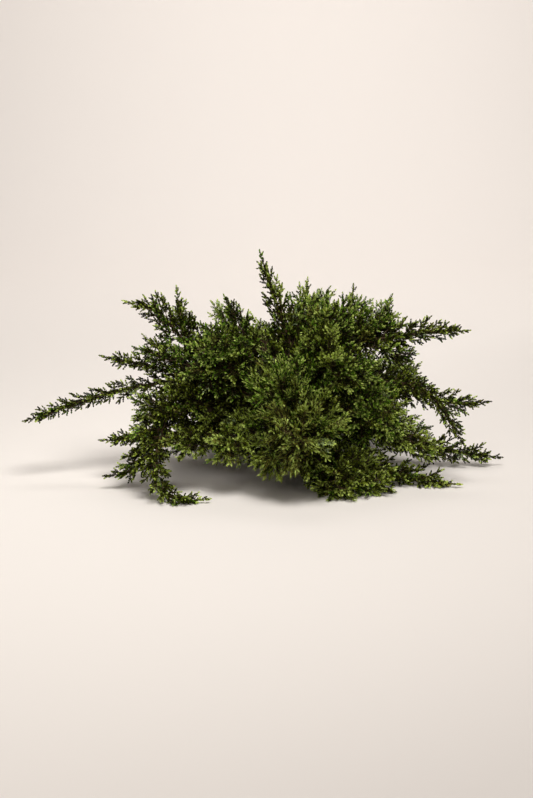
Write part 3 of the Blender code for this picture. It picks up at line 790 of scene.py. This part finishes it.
def grow():
    """The limbs, and the growth of each side of the plant: left, front, right, top and back."""
    tips = {}
    for name, mass in MASSES.items():
        tips.setdefault(mass.limb, []).append(name)
    limbs = {"trunk": trunk_limb()}
    for name, bough in BOUGHS.items():
        limbs[name] = bough_limb(bough, limbs, [Vector(MASSES[mass].tip) for mass in tips[name]])
    growths = {}
    for limb, names in tips.items():
        line = limbs[limb][0]
        direction = (line[-1] - line[-2]).normalized()
        ends = [Vector(MASSES[name].tip) for name in names]
        growths.setdefault(names[0].split("_")[1], Growth()).inner_shoots(limb, line)
        for name, start, tip in zip(names, stem_starts(line[-1], direction, ends), ends):
            stem = stem_line(start, direction, tip, MASSES[name])
            growths.setdefault(name.split("_")[1], Growth()).mass(name, stem)
    return limbs, growths


def add_bark(limbs):
    mesh = Mesh()
    for name, (line, radii) in limbs.items():
        mesh.add(*tube(line, radii, TRUNK_SIDES if name == "trunk" else BOUGH_SIDES, bark_relief))
    piece = mesh.build("bark_limbs", True)
    piece.data.materials.append(bark_material("bark", (0.045, 0.028, 0.018), (0.19, 0.125, 0.08), 150))
    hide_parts(*limbs)
    dress(piece)


def add_twigs(side, growth, nodes, material):
    mesh = Mesh()
    for line, radii in growth.twigs:
        mesh.add(*tube(line, radii, 5 if radii[0] > 1.5 else 3))
    piece = mesh.build(f"twigs_{side}", True)
    piece.data.materials.append(material)
    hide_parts(*nodes)
    dress(piece)


def add_needles(side, growth, nodes, materials):
    gathered = []
    for seed, form in enumerate((SCALES, SPINDLES, THREADS)):
        own = [b for b in growth.branchlets if b.form is form]
        if own:
            gathered.append(needle_blades(own, form, seed))
    corners = np.concatenate([blades for blades, _ in gathered])
    numbers = np.concatenate([numbers for _, numbers in gathered])
    for i, colour in enumerate(COLOURS):
        mesh = Mesh()
        blades = corners[numbers == i]
        start = np.arange(len(blades))[:, None] * 4
        mesh.add(blades.reshape(-1, 3), np.concatenate([start + (0, 1, 2), start + (0, 2, 3)]))
        own = [b for b in growth.branchlets if LADDERS[b.hue][b.tone] == colour]
        if own:
            mesh.add(*axis_mesh(own))
        piece = mesh.build(f"needles_{side}_{colour}", False)
        piece.data.materials.append(materials[colour])
        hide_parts(*nodes)
        dress(piece)


def dress(piece):
    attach(piece, "root")


# Studio


def add_floor():
    """A pale sheet that curves up behind the plant."""
    profile = [(-7.0, 0.0), (2.5, 0.0), (2.6, 0.0)]
    for i in range(1, 17):
        angle = math.pi / 2 * i / 16
        profile.append((2.6 + 1.4 * math.sin(angle), 1.4 - 1.4 * math.cos(angle)))
    profile.append((4.0, 6.0))
    points = [(x, y, z) for y, z in profile for x in (-8.0, 8.0)]
    faces = [(2 * i, 2 * i + 1, 2 * i + 3, 2 * i + 2) for i in range(len(profile) - 1)]
    mesh = bpy.data.meshes.new("floor")
    mesh.from_pydata(points, [], faces)
    mesh.polygons.foreach_set("use_smooth", [True] * len(faces))
    floor = bpy.data.objects.new("floor", mesh)
    bpy.context.scene.collection.objects.link(floor)
    mesh.materials.append(paper_material())


def paper_material():
    """Pale paper, painted a little darker to the right and in front, as a painted falloff of the light."""
    material, shader = new_material("paper", 0.9)
    shader.inputs["Specular IOR Level"].default_value = 0.1
    tree = material.node_tree
    # Painted light falloff across the paper.
    place = tree.nodes.new("ShaderNodeTexCoord")
    painted_falloff = tree.nodes.new("ShaderNodeVectorMath")
    painted_falloff.operation = "DOT_PRODUCT"
    painted_falloff.inputs[1].default_value = (0.7, -0.5, 0)
    tree.links.new(place.outputs["Object"], painted_falloff.inputs[0])
    across = tree.nodes.new("ShaderNodeMapRange")
    across.inputs["From Min"].default_value = -0.35
    across.inputs["From Max"].default_value = 0.75
    tree.links.new(painted_falloff.outputs["Value"], across.inputs["Value"])
    colours = ramp(tree, across.outputs["Result"], [(0, (0.93, 0.88, 0.835)), (1, (0.62, 0.58, 0.55))])
    tree.links.new(colours, shader.inputs["Base Color"])
    return material


def add_light(name, place, size, power, colour, target=(0, 0, 0.15)):
    data = bpy.data.lights.new(name, "AREA")
    data.shape = "DISK"
    data.size = size
    data.energy = power
    data.color = colour
    light = bpy.data.objects.new(name, data)
    light.location = place
    light.rotation_euler = (Vector(target) - Vector(place)).to_track_quat("-Z", "Y").to_euler()
    bpy.context.scene.collection.objects.link(light)


def add_studio():
    add_floor()
    add_light("key", (0.25, -0.8, 2.1), 1.3, 48, (1.0, 0.98, 0.95))
    add_light("fill", (-0.7, -2.6, 1.5), 1.6, 19, (1.0, 0.94, 0.88))
    add_light("backdrop", (0.1, 2.2, 3.0), 2.6, 66, (1.0, 0.97, 0.95), (0.1, 3.7, 0.8))
    world = bpy.context.scene.world or bpy.data.worlds.new("studio")
    bpy.context.scene.world = world
    world.use_nodes = True
    sky = world.node_tree.nodes["Background"]
    sky.inputs["Color"].default_value = (1.0, 0.92, 0.85, 1)
    sky.inputs["Strength"].default_value = 0.04
    bpy.context.scene.view_settings.view_transform = "Standard"


def add_camera():
    data = bpy.data.cameras.new("camera")
    data.sensor_fit = "VERTICAL"
    data.sensor_height = 36
    data.lens = 77.336
    camera = bpy.data.objects.new("camera", data)
    camera.location = (-0.076125, -2.908610, 0.745270)
    camera.rotation_euler = (math.radians(78), 0, 0)
    bpy.context.scene.collection.objects.link(camera)
    bpy.context.scene.camera = camera


add_camera()
add_studio()
limbs, growths = grow()
add_bark(limbs)
twig_bark = bark_material("twig_bark", (0.07, 0.035, 0.018), (0.16, 0.10, 0.05), 260)
paint_inner_shade(growths.values())
needle_materials = {name: needle_material(f"needles_{name}", colour) for name, colour in COLOURS.items()}
for side, growth in growths.items():
    nodes = [name for name in frame["nodes"] if name.startswith(f"foliage_{side}_")]
    add_twigs(side, growth, nodes, twig_bark)
    add_needles(side, growth, nodes, needle_materials)
    print(side, len(growth.twigs), "twigs", len(growth.branchlets), "branchlets")
